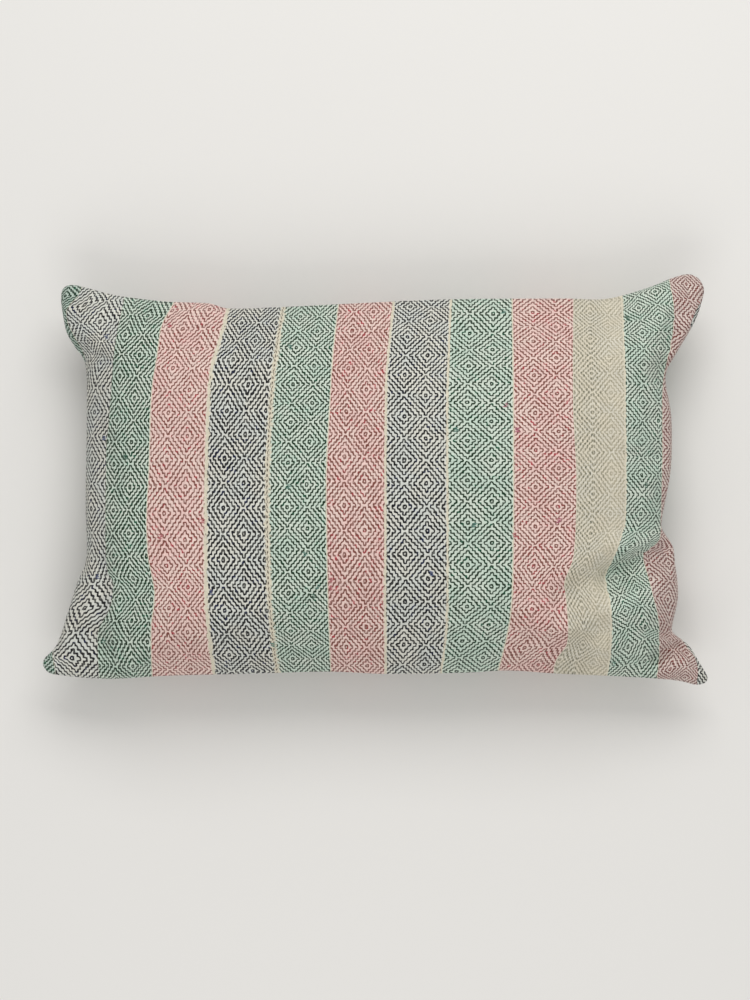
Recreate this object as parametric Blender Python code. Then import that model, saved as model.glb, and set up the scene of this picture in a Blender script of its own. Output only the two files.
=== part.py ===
"""Kantha cushion, a filled rectangular cushion with a knife-edge seam, lying on its back.

Metres, +Z up. The face looks up, +X runs along the cushion and +Y towards its upper edge.
The origin lies under the middle of the cushion, on the surface that it rests on.
"""
import math

import bmesh
import bpy
from mathutils import Vector

# Driving dimensions
MM = 0.001
SEAM_HEIGHT = 0.047       # the side seam above the resting surface
CROWN = 0.061             # the middle of the face above the side seam
EAR_DROP = 0.004          # how far the corners hang below the side seam
SEAM_WAVE = 0.0018        # unevenness of the seam's height
LUMP = 0.0016             # unevenness of the filling under the face
FOLD_FADE = 0.30          # fullness below which folds fade out towards the seam

# How full the cushion is from its middle to its seam: (1 - |u| ** power) ** edge
FULLNESS = {
    "along": {"power": 4.2, "edge": 0.60},
    "across": {"power": 2.5, "edge": 0.60},
}

# Mesh cells along and across one panel
CELLS_ALONG = 52
CELLS_ACROSS = 34

# The patch of the back that lies flat on the surface, as a share of the length and the width
FLAT_ALONG = 32 / CELLS_ALONG
FLAT_ACROSS = 16 / CELLS_ACROSS
FLAT_BOW = 0.012          # how far the sides of the patch are drawn in, as a share of its half
BACK_POWER = 1.6          # how roundly the back leaves the surface
CURVE_STEPS = 12          # steps of a smooth edge between two of its points

# The seam as sewn, drawn in between its pulled-out corners, as x and y in millimetres
TOP_EDGE = [                                       # left ear to right ear
    (-239.4, 144.6), (-236.4, 148.0), (-230.0, 148.9), (-218.0, 146.0), (-197.0, 140.6),
    (-160.0, 136.0), (-127.0, 134.6), (-111.0, 130.6), (-67.0, 132.0), (0.0, 135.4),
    (60.0, 137.8), (142.0, 138.3), (175.0, 138.0), (206.0, 146.2), (225.0, 153.7),
    (238.5, 157.2), (246.5, 153.6),
]
BOTTOM_EDGE = [                                    # left ear to right ear
    (-254.0, -140.5), (-250.4, -146.2), (-242.0, -148.4), (-205.0, -151.3), (-156.0, -148.8),
    (-92.0, -147.2), (-36.0, -145.6), (10.0, -147.4), (68.0, -146.4), (101.0, -144.8),
    (140.0, -147.3), (190.0, -149.6), (228.0, -152.4), (244.0, -156.0), (251.4, -154.8),
]
LEFT_EDGE = [                                      # lower ear to upper ear
    (-254.0, -140.5), (-252.8, -135.8), (-247.5, -131.0), (-242.6, -124.7), (-237.0, -109.0),
    (-227.5, -79.0), (-220.0, -58.0), (-220.8, -17.0), (-220.0, 40.0), (-220.6, 86.0),
    (-228.7, 101.0), (-235.0, 111.5), (-238.0, 124.0), (-239.8, 137.0), (-239.4, 144.6),
]
RIGHT_EDGE = [                                     # lower ear to upper ear
    (251.4, -154.8), (253.4, -150.6), (246.0, -138.0), (238.4, -126.0), (229.0, -118.4),
    (225.0, -113.6), (230.0, -88.0), (227.5, -62.0), (226.0, -50.0), (218.4, -38.2),
    (217.6, -30.0), (224.6, 8.0), (225.0, 48.0), (220.4, 79.0), (229.0, 97.0),
    (243.0, 121.0), (249.0, 139.0), (250.2, 146.5), (246.5, 153.6),
]

# Folds of the face, as troughs from one end to the other, and swells, with a depth below zero
FOLDS = [
    # Name, x and y of one end, x and y of the other, half width and depth, in millimetres
    {"name": "lower right fold", "from": (170, -75), "to": (224, -41), "half": 21, "depth": 15},
    {"name": "lower right swell", "from": (186, -98), "to": (205, -92), "half": 34, "depth": -7},
    {"name": "lower left crease", "from": (-203, -62), "to": (-209, -124), "half": 12, "depth": 5},
    {"name": "upper left crease", "from": (-226, 88), "to": (-203, 116), "half": 13, "depth": 5},
    {"name": "upper right crease", "from": (214, 78), "to": (229, 124), "half": 12, "depth": 6},
    {"name": "lower right ear", "from": (218, -110), "to": (236, -146), "half": 10, "depth": 4},
]

# Lumps of the filling, as waves across the panel
LUMPS = [
    {"along": 5.1, "across": 2.3, "phase": 0.6, "share": 1.0},
    {"along": -3.2, "across": 4.6, "phase": 2.1, "share": 0.8},
    {"along": 8.3, "across": 5.7, "phase": 4.0, "share": 0.5},
]

COVER_COLOUR = (0.41, 0.42, 0.35, 1.0)
COVER_ROUGHNESS = 0.9


def start_clean():
    """Remove every object of the scene that the script starts in."""
    for old in list(bpy.data.objects):
        bpy.data.objects.remove(old, do_unlink=True)


def cover_material():
    """Plain matt cotton in the mean colour of the striped cover."""
    material = bpy.data.materials.new("striped cotton")
    material.use_nodes = True
    surface = material.node_tree.nodes["Principled BSDF"]
    surface.inputs["Base Color"].default_value = COVER_COLOUR
    surface.inputs["Roughness"].default_value = COVER_ROUGHNESS
    surface.inputs["Metallic"].default_value = 0.0
    return material


def smooth_curve(points):
    """A Catmull-Rom curve through the points of an edge, in metres."""
    knots = [Vector(point) * MM for point in points]
    knots.insert(0, 2.0 * knots[0] - knots[1])
    knots.append(2.0 * knots[-1] - knots[-2])
    curve = []
    for index in range(1, len(knots) - 2):
        before, start, end, after = knots[index - 1:index + 3]
        for step in range(CURVE_STEPS):
            t = step / CURVE_STEPS
            curve.append(0.5 * (2.0 * start + (end - before) * t
                                + (2.0 * before - 5.0 * start + 4.0 * end - after) * t ** 2
                                + (3.0 * start - before - 3.0 * end + after) * t ** 3))
    curve.append(knots[-2])
    return curve


def spread(curve, cells):
    """Points at equal steps along a curve, one for each grid line."""
    lengths = [0.0]
    for start, end in zip(curve, curve[1:]):
        lengths.append(lengths[-1] + (end - start).length)
    points = []
    piece = 0
    for line in range(cells + 1):
        wanted = lengths[-1] * line / cells
        while piece < len(curve) - 2 and lengths[piece + 1] < wanted:
            piece += 1
        share = (wanted - lengths[piece]) / (lengths[piece + 1] - lengths[piece])
        points.append(curve[piece].lerp(curve[piece + 1], share))
    return points


class Outline:
    """The panel inside the four edges of the seam, for u and v from -1 to 1."""

    def __init__(self):
        self.top = spread(smooth_curve(TOP_EDGE), CELLS_ALONG)
        self.bottom = spread(smooth_curve(BOTTOM_EDGE), CELLS_ALONG)
        self.left = spread(smooth_curve(LEFT_EDGE), CELLS_ACROSS)
        self.right = spread(smooth_curve(RIGHT_EDGE), CELLS_ACROSS)

    def at(self, u, v):
        """The point of the flat panel on the grid line nearest to u and v."""
        column = round((u + 1.0) / 2.0 * CELLS_ALONG)
        row = round((v + 1.0) / 2.0 * CELLS_ACROSS)
        s = column / CELLS_ALONG
        t = row / CELLS_ACROSS
        between_long_edges = self.bottom[column].lerp(self.top[column], t)
        between_ends = self.left[row].lerp(self.right[row], s)
        lower = self.bottom[0].lerp(self.bottom[-1], s)
        upper = self.top[0].lerp(self.top[-1], s)
        return between_long_edges + between_ends - lower.lerp(upper, t)


def fullness(u, v):
    """How full the cushion is at a place: 1 in its middle and 0 at its seam."""
    full = 1.0
    for place, shape in ((u, FULLNESS["along"]), (v, FULLNESS["across"])):
        full *= max(0.0, 1.0 - abs(place) ** shape["power"]) ** shape["edge"]
    return full


def seam_height(u, v):
    """Height of the seam, lower at the corners and a little uneven."""
    ears = (u * v) ** 4
    wave = math.sin(4.0 * u + 1.0) * math.cos(5.0 * v - 0.5)
    return SEAM_HEIGHT - EAR_DROP * ears + SEAM_WAVE * wave


def fold_depth(place):
    """Depth of all the folds at a point of the panel."""
    depth = 0.0
    for fold in FOLDS:
        start = Vector(fold["from"]) * MM
        end = Vector(fold["to"]) * MM
        half = fold["half"] * MM
        run = end - start
        share = min(1.0, max(0.0, (place - start).dot(run) / run.length_squared))
        away = (place - (start + run * share)).length / half
        if away < 1.0:
            depth += fold["depth"] * MM * 0.5 * (1.0 + math.cos(math.pi * away))
    return depth


def lumps(u, v):
    """Unevenness of the filling."""
    total = 0.0
    for wave in LUMPS:
        total += wave["share"] * math.sin(wave["along"] * u + wave["across"] * v + wave["phase"])
    return LUMP * total


def face_point(outline, u, v):
    """A point of the face, the panel that looks up."""
    place = outline.at(u, v)
    full = fullness(u, v)
    fade = min(1.0, full / FOLD_FADE)
    height = seam_height(u, v) + CROWN * full + lumps(u, v) * full
    height -= fold_depth(place) * fade
    return Vector((place.x, place.y, height))


def patch_point(outline, u, v):
    """A point of the flat patch, a four-sided field with its sides a little drawn in."""
    s = u / FLAT_ALONG
    t = v / FLAT_ACROSS
    s, t = (s * (1.0 - FLAT_BOW * max(0.0, 1.0 - t * t)),
            t * (1.0 - FLAT_BOW * max(0.0, 1.0 - s * s)))
    left = outline.at(-FLAT_ALONG, -FLAT_ACROSS).lerp(
        outline.at(-FLAT_ALONG, FLAT_ACROSS), (t + 1.0) / 2.0)
    right = outline.at(FLAT_ALONG, -FLAT_ACROSS).lerp(
        outline.at(FLAT_ALONG, FLAT_ACROSS), (t + 1.0) / 2.0)
    return left.lerp(right, (s + 1.0) / 2.0)


def back_point(outline, u, v):
    """A point of the back, which lies flat where it meets the surface."""
    down = 1.0
    for away, flat, shape in ((abs(u), FLAT_ALONG, FULLNESS["along"]),
                              (abs(v), FLAT_ACROSS, FULLNESS["across"])):
        beyond = (away - flat) / (1.0 - flat)
        if beyond > 0.001:
            down *= max(0.0, 1.0 - beyond ** BACK_POWER) ** shape["edge"]
    place = patch_point(outline, u, v).lerp(outline.at(u, v), 1.0 - down)
    return Vector((place.x, place.y, seam_height(u, v) * (1.0 - down)))


def add_panel(mesh, outline, point_of, faces_up):
    """One panel of the cover, a grid whose points are moved to their places."""
    grid = bmesh.ops.create_grid(mesh, x_segments=CELLS_ALONG, y_segments=CELLS_ACROSS, size=1.0)
    corners = []
    for vertex in grid["verts"]:
        u, v = vertex.co.x, vertex.co.y
        vertex.co = point_of(outline, u, v)
        if len(vertex.link_faces) == 1:
            corners.append(vertex)
    if not faces_up:
        faces = list({face for vertex in grid["verts"] for face in vertex.link_faces})
        bmesh.ops.reverse_faces(mesh, faces=faces)
    return corners


def split_ear_tips(mesh, corners):
    """Split each corner cell from its tip inwards, so the two panels share no triangle."""
    for tip in corners:
        cell = tip.link_faces[0]
        inner = next(vertex for vertex in cell.verts
                     if vertex is not tip and not any(tip in edge.verts for edge in vertex.link_edges))
        bmesh.ops.connect_verts(mesh, verts=[tip, inner])


def centre_over_origin(mesh):
    """Move the cushion so that the middle of its box stands over the origin."""
    xs = [vertex.co.x for vertex in mesh.verts]
    ys = [vertex.co.y for vertex in mesh.verts]
    middle = Vector(((min(xs) + max(xs)) / 2.0, (min(ys) + max(ys)) / 2.0, 0.0))
    bmesh.ops.translate(mesh, vec=-middle, verts=mesh.verts)


def make_cushion(collection):
    """The filled cushion: a face and a back that meet at the seam."""
    outline = Outline()
    mesh = bmesh.new()
    corners = add_panel(mesh, outline, face_point, faces_up=True)
    corners += add_panel(mesh, outline, back_point, faces_up=False)
    split_ear_tips(mesh, corners)
    bmesh.ops.remove_doubles(mesh, verts=mesh.verts, dist=0.00002)
    centre_over_origin(mesh)
    data = bpy.data.meshes.new("cushion")
    mesh.to_mesh(data)
    mesh.free()
    data.shade_smooth()
    data.materials.append(cover_material())
    cushion = bpy.data.objects.new("cushion", data)
    collection.objects.link(cushion)
    return cushion


def main():
    """Build the cushion in a collection of its own."""
    start_clean()
    collection = bpy.data.collections.new("kantha cushion")
    bpy.context.scene.collection.children.link(collection)
    make_cushion(collection)


main()
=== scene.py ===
"""Looks of the kantha cushion: a filled cover pieced from strips of diamond-woven cotton.

Every length is in metres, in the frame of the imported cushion: +X along it, +Y towards its upper
edge, +Z out of its face, and the surface that it lies on at Z = 0.
"""
import math
from bisect import bisect
from collections import namedtuple
from random import Random

import bmesh
import bpy
from bpy.props import FloatProperty, FloatVectorProperty, IntProperty, PointerProperty
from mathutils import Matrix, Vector
from mathutils.bvhtree import BVHTree


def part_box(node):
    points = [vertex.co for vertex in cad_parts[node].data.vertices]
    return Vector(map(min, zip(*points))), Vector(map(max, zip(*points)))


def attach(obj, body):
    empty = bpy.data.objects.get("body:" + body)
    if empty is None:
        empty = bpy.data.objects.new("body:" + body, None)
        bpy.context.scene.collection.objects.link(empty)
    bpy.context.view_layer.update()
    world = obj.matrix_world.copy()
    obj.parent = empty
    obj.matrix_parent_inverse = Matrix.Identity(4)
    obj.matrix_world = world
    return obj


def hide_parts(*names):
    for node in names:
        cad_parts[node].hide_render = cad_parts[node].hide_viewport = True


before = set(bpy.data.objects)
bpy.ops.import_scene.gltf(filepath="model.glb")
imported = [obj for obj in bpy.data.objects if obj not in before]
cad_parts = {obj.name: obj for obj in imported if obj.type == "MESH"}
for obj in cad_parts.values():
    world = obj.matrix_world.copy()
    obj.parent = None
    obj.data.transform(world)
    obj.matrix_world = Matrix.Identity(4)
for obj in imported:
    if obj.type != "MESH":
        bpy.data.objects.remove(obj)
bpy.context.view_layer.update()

bl_info = {
    "name": "Kantha cushion",
    "version": (1, 0, 0),
    "blender": (4, 5, 0),
    "location": "View3D > Sidebar > Kantha cushion",
    "description": "Dresses the packed cushion in its strip-pieced, diamond-woven cover",
    "category": "Add Mesh",
}

MM = 0.001
NODE = "cushion"
LOW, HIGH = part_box(NODE)

# The seam as sewn, drawn in between its pulled-out ears, as x and y in millimetres
TOP_EDGE = [                                       # left ear to right ear
    (-239.4, 144.6), (-236.4, 148), (-230, 148.9), (-218, 146), (-197, 140.6),
    (-160, 136), (-127, 134.6), (-111, 130.6), (-67, 132), (0, 135.4),
    (60, 137.8), (142, 138.3), (175, 138), (206, 146.2), (225, 153.7),
    (238.5, 157.2), (246.5, 153.6),
]
BOTTOM_EDGE = [                                    # left ear to right ear
    (-254, -140.5), (-250.4, -146.2), (-242, -148.4), (-205, -151.3), (-156, -148.8),
    (-92, -147.2), (-36, -145.6), (10, -147.4), (68, -146.4), (101, -144.8),
    (140, -147.3), (190, -149.6), (228, -152.4), (244, -156), (251.4, -154.8),
]
LEFT_EDGE = [                                      # lower ear to upper ear
    (-254, -140.5), (-252.8, -135.8), (-247.5, -131), (-242.6, -124.7), (-237, -109),
    (-227.5, -79), (-220, -58), (-220.8, -17), (-220, 40), (-220.6, 86),
    (-228.7, 101), (-235, 111.5), (-238, 124), (-239.8, 137), (-239.4, 144.6),
]
RIGHT_EDGE = [                                     # lower ear to upper ear
    (251.4, -154.8), (253.4, -150.6), (246, -138), (238.4, -126), (229, -118.4),
    (225, -113.6), (230, -88), (227.5, -62), (226, -50), (218.4, -38.2),
    (217.6, -30), (224.6, 8), (225, 48), (220.4, 79), (229, 97),
    (243, 121), (249, 139), (250.2, 146.5), (246.5, 153.6),
]

# Folds of the face, in millimetres: x and y of one end, x and y of the other, the half widths left
# and right of that run, and the depth, which is below zero for a swell
FOLDS = [
    ((176, -73), (223, -49), (12, 25), 14),        # lower right fold
    ((186, -98), (205, -92), (34, 34), -7),        # lower right swell
    ((-203, -62), (-209, -124), (12, 12), 5),      # lower left crease
    ((-226, 88), (-203, 116), (13, 13), 5),        # upper left crease
    ((214, 78), (229, 124), (12, 12), 6),          # upper right crease
    ((223, -116), (213, -130), (9, 9), 3),         # lower right ear
    ((213, -136), (238, -125), (9, 7), 14),        # crease of that ear
    ((132, -153), (208, -155), (25, 8), 8),        # lower right edge
    ((146, -86), (178, -64), (17, 30), 8),         # dip beside the fold
    ((170, -112), (140, -142), (14, 18), 5),       # dip above the edge
]

# Lumps of the filling, as waves: how fast they run along and across the panel, where they start,
# and their share of the lumps' height
LUMPS = [
    (5.1, 2.3, 0.6, 1.0),
    (-3.2, 4.6, 2.1, 0.8),
    (8.3, 5.7, 4.0, 0.5),
]

Strip = namedtuple("Strip", "cloth bare stitches finer threads diamonds")

# The strips from left to right, with lengths in millimetres: the cloth, the widths of the unwoven
# edge at the left and at the right join, the share of running stitches that show at the right
# join, and by how much the dark yarn is thinner than elsewhere. Then come the threads, each row a
# height with the thread that meets the left and the right join there, and the heights of the left
# column of diamonds from top to bottom.
STRIPS = [
    Strip("sage", (0.3, 0.3), 0.0, 0.0,
          [(0, -1, 41.5)],
          [152, 131, 109, 82, 53, 22.5, -8, -38.5, -69, -98, -123.5, -149]),
    Strip("indigo", (0.0, 0.0), 0.0, 0.12,
          [(136, 4.4, 47), (102, 3, 47), (60, 1, 47), (-61, 1, 47), (-92, 8, 47),
           (-135, 16, 47)],
          [134.7, 105.6, 70.4, 34, -2.7, -40, -78.5, -116, -151]),
    Strip("green", (0.1, 0.2), 0.0, -0.06,
          [(121, 5, 48), (102, 8.5, 46), (60, 7, 47.5), (-46, 6.7, 48), (-92, 7.5, 50),
           (-122, -1, 50.5), (-141, -1.4, 48.4)],
          [110.5, 79.3, 45.8, 12.4, -22.7, -57.8, -90.6, -123, -155]),
    Strip("rose", (0.5, 1.1), 0.25, 0.1,
          [(121, -3, 47), (85, 0, 47.5), (52, 0.5, 46.5), (0, 1.2, 47.8), (-92, 1.6, 46.5),
           (-130, 1, 49)],
          [115, 85.2, 51.7, 15.6, -25, -65, -97.3, -131.7]),
    Strip("indigo", (1.5, 1.5), 1.0, 0.0,
          [(109, -0.3, 51.6), (73, -1.2, 52), (35, 0.6, 50.5), (-39, 1.7, 49.8),
           (-117, 1.6, 50.2)],
          [119.4, 91.9, 52.9, 16.8, -20.8, -60.3, -99.3, -133.2]),
    Strip("green", (1.9, 0.4), 0.0, 0.05,
          [(114, -0.2, 46.3), (57, -0.9, 45.4), (-3, -1.1, 47.1), (-68, 0.4, 45.9),
           (-127, 1.5, 45.6)],
          [124.4, 101, 72.9, 44.4, 13.7, -20.3, -52.6, -86, -115, -135.8]),
    Strip("rose", (0.4, 1.0), 0.1, 0.0,
          [(100, 1.4, 47.8), (-36, 1.3, 48.1), (-112, 2.4, 46.5)],
          [113.5, 85, 52.2, 18, -19, -56, -95.8, -126.8]),
    Strip("indigo", (0.8, 0.8), 0.3, 0.07,
          [(121, 2.7, 46.2), (76, 2, 48), (22, 2, 47), (-92, 1.4, 45), (-130, 3, 44.8)],
          [131.6, 109.2, 80.4, 48.6, 15.5, -20, -56.3, -92.3, -125.4]),
    Strip("green", (0.9, 0.5), 0.0, 0.12,
          [(114, 1.6, 45), (60, 2, 46.4), (-92, 2, 45.6), (-130, 4.6, 44.3)],
          [111.3, 86.9, 59, 30.3, 0, -32.1, -64.2, -96.4, -122.5, -145.4]),
    Strip("rose", (0.5, 0.2), 0.0, 0.06,
          [(127, 1.5, 44), (93, 1.2, 43.5), (39, 0.1, 42.6), (-16, 0.2, 45), (-61, -1.5, 46),
           (-92, 0, 42), (-130, 0, 46)],
          [127.3, 105.6, 80, 51, 22.9, -5.2, -34.9, -65.8, -97.8, -127.5]),
    Strip("beige", (0.2, 0.5), 0.0, 0.0,
          [(114, 0.6, 45.5), (67, -1, 44), (0, 0.3, 45), (-25, 1.5, 45), (-54, 2.5, 45),
           (-92, 0, 45), (-130, -3, 46)],
          [127.2, 107.8, 81.5, 51.7, 21.2, -10.7, -40.3, -67.7, -95, -124.4]),
    Strip("green", (1.0, 0.2), 0.0, 0.13,
          [(124, 1.4, 45.5), (101, -1, 41.6), (60, -0.8, 34.6), (-25, 1, 37), (-52, 3.3, 43),
           (-73, 4.6, 44.5), (-99, 2.3, 46.2), (-127, -1.2, 47.6)],
          [149.5, 131.3, 112.2, 87.7, 59.4, 30.4, 4, -25.9, -50.6, -73.4, -99.3, -126.7,
           -152.6]),
    Strip("russet", (0.2, 0.0), 0.0, 0.0,
          [(150, -0.3, 48), (138, -0.3, 30), (131, 0, 20), (122, 0, 14), (112, 0, 13),
           (100, 0, 20), (60, 0, 46), (0, 0, 46), (-63, -4, 46), (-92, 0, 46), (-123, 0.9, 30),
           (-145, 4, 45)],
          [170.8, 148, 124.4, 98.5, 69.6, 40, 10.3, -19.4, -43, -63.2, -92.5, -123, -144.7,
           -161]),
    Strip("indigo", (0.0, 0.0), 0.0, 0.0,
          [(0, 0, 46)],
          [60, 24, -12, -48, -84, -122, -146.5]),
]

# Places where the cloth is pulled askew, so that its cross threads rise towards the right: x, y
# and reach in millimetres, and the rise
PULLS = [
    (-215, 135, 38, 0.24),         # upper left ear
    (202, 138, 48, 0.22),          # upper right ear
    (189, -92, 46, 0.28),          # below the lower right fold
    (192, -122, 40, 0.5),          # beside the lower right ear
    (224, -145, 26, 0.35),         # lower right ear
]

# The joins between the strips from left to right, as x and y in millimetres from top to bottom
JOINS = [
    [(-222, 160), (-222.6, 149), (-226, 139.6), (-234.4, 130.5), (-234.8, 122), (-231.7, 114),
     (-222.6, 98), (-220.7, 89), (-232, 75), (-239, 60), (-239, -50), (-240, -95), (-245, -122),
     (-246, -131), (-244.5, -138), (-243.5, -147), (-243, -160)],
    [(-190, 160), (-191, 140), (-193, 129), (-196.5, 113), (-199.5, 93), (-201, 68),
     (-203.5, 37.5), (-205, 18), (-205, -61), (-199.5, -79), (-201.5, -96), (-205, -104),
     (-211, -114.5), (-211.5, -126), (-210.5, -160)],
    [(-152, 160), (-153, 137), (-159.5, 125), (-164, 114), (-167, 92), (-171, 64), (-172.5, 12),
     (-174.5, -27), (-173.5, -57), (-168.5, -86), (-171, -114.5), (-170, -160)],
    [(-111, 160), (-111.5, 136), (-114, 124), (-119, 105), (-124.5, 86), (-127, 64), (-129, 12),
     (-129.5, -61), (-129, -95), (-126.5, -124), (-121, -160)],
    [(-69, 160), (-69.5, 136), (-75, 102), (-79.5, 60.5), (-82.5, 3.5), (-82, -61), (-81, -88),
     (-78, -122), (-73, -160)],
    [(-27, 160), (-28, 136), (-32.5, 95), (-35, 53), (-37.5, 3.5), (-37, -54), (-36, -95.5),
     (-33.5, -160)],
    [(15, 160), (14, 136), (10, 98), (8, 60.5), (7.5, -61), (7.5, -107), (8, -160)],
    [(58, 160), (57.5, 139), (56, 106), (54.5, 45), (54.5, -99), (49.5, -148), (48, -160)],
    [(104, 160), (104, 139), (105, 60.5), (105, -46), (103, -101.5), (93, -148), (90, -160)],
    [(151, 160), (151, 139), (150.5, 60.5), (153, 7), (152.5, -38), (150.5, -61), (144, -78),
     (145.5, -92), (146.5, -123), (137.5, -138), (134, -160)],
    [(186, 160), (187, 144), (189, 91), (190, 45), (190, -23), (187, -41), (181, -59),
     (174.5, -72), (175.5, -84), (178.5, -99), (178.5, -130), (174, -160)],
    [(221, 160), (223, 155), (228, 127), (225.5, 104.5), (219.5, 79), (218, 60.5), (218, 18.5),
     (217, -27), (216.5, -44), (212, -50), (203.5, -56), (205, -66), (211, -88), (215, -103),
     (216.5, -124), (214, -160)],
    [(264, 160), (257, 145), (250, 138), (245, 131), (241, 122), (239, 112), (241, 100),
     (258, 60), (256, -60), (240, -92), (232.5, -117.5), (235, -125), (244.5, -139),
     (244.5, -160)],
]

# Slubs, where a few threads stand out in a stronger dye: x and y in millimetres, and the dye
SLUBS = [
    (-157, 117.6, "rose"), (-204.5, 108.8, "blue"), (-64.7, 100.8, "teal"),
    (97.4, 127.9, "teal"), (99.3, 56.7, "magenta"), (192.2, 122.5, "green"),
    (-190.6, 17.1, "green"), (-206.2, 31.6, "blue"), (-131.7, -31.6, "rose"),
    (-163.6, -43.4, "rose"), (-66.2, -5.3, "teal"), (-53.7, -56.7, "teal"),
    (61.6, 38.1, "teal"), (108.4, 37.7, "magenta"), (75, -34.6, "teal"),
    (139.6, -31.2, "magenta"), (106.2, -42.2, "rose"), (206.2, -4.6, "green"),
    (-211.2, -73.8, "blue"), (-207.4, -122.5, "teal"), (-125.6, -86, "blue"),
    (-33.9, -76.5, "rose"), (-33.9, -82.6, "rose"), (-43.8, -81.4, "teal"),
    (-47.2, -88.7, "green"), (-77.6, -126, "teal"), (42.6, -71.5, "blue"),
    (181.1, -140.2, "teal"),
]

# Loose ends of thread lying on the face, as x and y in millimetres from one end to the other
LOOSE_ENDS = [
    [(-36.2, -106.0), (-33.0, -106.6), (-29.8, -105.4), (-26.6, -105.8)],
    [(-127.4, -82.0), (-125.0, -84.6), (-124.6, -87.6)],
]

LEFT_COLUMN = 16          # thread on which the left column of diamonds stands
HALF_ACROSS = 16          # threads from the middle of a diamond to the middle of the next
THREADS_REPEAT = 28       # threads up one diamond repeat
THREAD = 0.94 * MM        # one thread across the strips in the cloth's UV maps
REPEAT = 35.0 * MM        # one diamond repeat up the strips there, and on the back
STRIP_WIDTH = 45.0 * MM   # width of the first and the last strip past the last join
GATHER = 0.5              # how much of the cloth's rise the threads follow

LINE_WIDTH = 0.54         # half the width of the dark yarn where it shows, in threads
LINE_SOFT = 0.10          # how softly the dark yarn ends, in threads
STAIR_EASE = 0.32         # how far the steps of the stairs are drawn out into a slope
WAVER = 1.2               # how far a thread wavers to both sides together, in threads
STRIP_APART = 0.37        # how far apart the cloths of two strips are in the textures, metres
STITCH = 4.1 * MM         # length of one running stitch with the gap after it
DOTS_FADE = (40.0, 14.0)  # threads where the olive dots have gone, and where they begin to go
LAST_SHARE = 0.9999       # the largest share across a strip that still counts as its own

# How fine the textures are, for a place on the cloth in metres: streaks along and across the
# threads, patches, blotches and fuzz of the yarn, and what makes threads and stitches uneven
STREAKS = ((800.0, 90.0, 1.0), (90.0, 620.0, 1.0))
YARN_NOISE = {"Patch": 60.0, "Blotch": 280.0, "Fuzz": 2200.0}
SWAY_SCALE = 130.0
SHAKE_SCALE = 460.0
STITCH_SCALE = 110.0
FIBRE_SCALE = 1800.0      # fibres of the slubs

# How uneven the yarn looks: the range of a random value, and the range it is turned into
EDGE_WANDER = (0.0, 1.0, 0.55, 1.45)      # width of a bare edge from crossing to crossing
PALE_CROSSINGS = (0.6, 1.0, 0.0, 1.0)     # crossings where the dark yarn pales
LINE_STRENGTH = (0.3, 0.5, 0.84, 1.0)     # how strongly the dark yarn shows
DOT_DRAW = (0.1, 0.9, 0.25, 1.0)          # how strongly each olive dot shows
DOT_STREAKS = (0.4, 0.6, 0.45, 1.0)       # streaks in which the olive dots are weaker
TINT_PATCHES = (0.38, 0.62, 0.0, 1.0)     # where the pale yarn takes its second tone
FLECKS = (0.58, 0.70, 0.0, 1.0)           # where the dark yarn takes its second dye
STREAK_TONE = (0.25, 0.75, 0.88, 1.08)    # brightness of the streaks
FUZZ_TONE = (0.25, 0.75, 0.92, 1.08)      # brightness of the fuzz
CROSSING_TONE = (0.0, 1.0, 0.92, 1.08)    # brightness from crossing to crossing
ROUGHNESS = (0.2, 0.8, 0.82, 0.98)
FIBRE_SHOW = (0.4, 0.8, 0.0, 0.45)        # how far the fibres of a slub pale it

# The cloths: pale yarn, its second tone, dark yarn and its second dye, as they look on a screen,
# how heavily the dark yarn is spun beside the rest, and how far it pales at some crossings
CLOTHS = {
    "sage": ((186, 200, 188), (176, 194, 181), (10, 44, 26), (12, 88, 60), 1.10, 0.10),
    "green": ((207, 217, 203), (194, 211, 196), (12, 41, 17), (12, 84, 58), 1.04, 0.12),
    "rose": ((229, 204, 194), (227, 194, 186), (118, 70, 60), (166, 58, 68), 1.00, 0.38),
    "russet": ((216, 200, 191), (207, 188, 180), (100, 50, 44), (138, 64, 60), 0.90, 0.20),
    "indigo": ((214, 213, 202), (206, 209, 202), (10, 10, 11), (20, 30, 66), 1.06, 0.08),
    # Both yarns of the beige cloth are tan: its dark yarn and its second dye are painted shade, a
    # darker tan that draws the diamonds which the weave's relief shows there only by light and
    # shade
    "beige": ((210, 205, 189), (212, 204, 184), (170, 163, 141), (140, 134, 112), 0.90, 0.40),
}
YARNS = {"ground": "Pale yarn", "tint": "Second tone of the pale yarn", "line": "Dark yarn",
         "fleck": "Second dye of the dark yarn"}

# What the material looks up by the number of a strip
LOOKED_UP = {**YARNS, "edges": "Bare left, bare right, stitches",
             "wear": "Dots, width and faintness of the dark yarn"}

# Further colours, as they look on a screen
TRIMMINGS = {
    "beige_dot": ("Olive lengthways threads of the beige cloth", (78, 80, 66)),
    "selvedge": ("Bare edges of the strips", (212, 205, 184)),
    "stitch": ("Running stitches along the joins", (88, 74, 62)),
    "rose_slub": ("Slubs of the rose dye", (176, 84, 92)),
    "magenta_slub": ("Slubs of the magenta dye", (168, 80, 108)),
    "green_slub": ("Slubs of the green dye", (42, 92, 70)),
    "teal_slub": ("Slubs of the teal dye", (72, 124, 110)),
    "blue_slub": ("Slubs of the blue dye", (66, 80, 122)),
    "loose_thread": ("Loose ends of thread", (88, 60, 58)),
}

# The camera looks straight down. A picture point is as large at the seam as given here.
FRAME_WIDTH, FRAME_HEIGHT = 750, 1000
PIXEL = 0.761 * MM
CUSHION_MIDDLE = (375.5, 479.5)           # where the cushion's middle lies in the picture
CAMERA_X = (FRAME_WIDTH / 2.0 - CUSHION_MIDDLE[0]) * PIXEL
CAMERA_Y = (CUSHION_MIDDLE[1] - FRAME_HEIGHT / 2.0) * PIXEL
CAMERA_HEIGHT = 2.4                       # above the seam
SENSOR = 36.0                             # width of the camera's sensor, in millimetres
SEAM_HEIGHT = 47.0 * MM                   # above the surface

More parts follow.
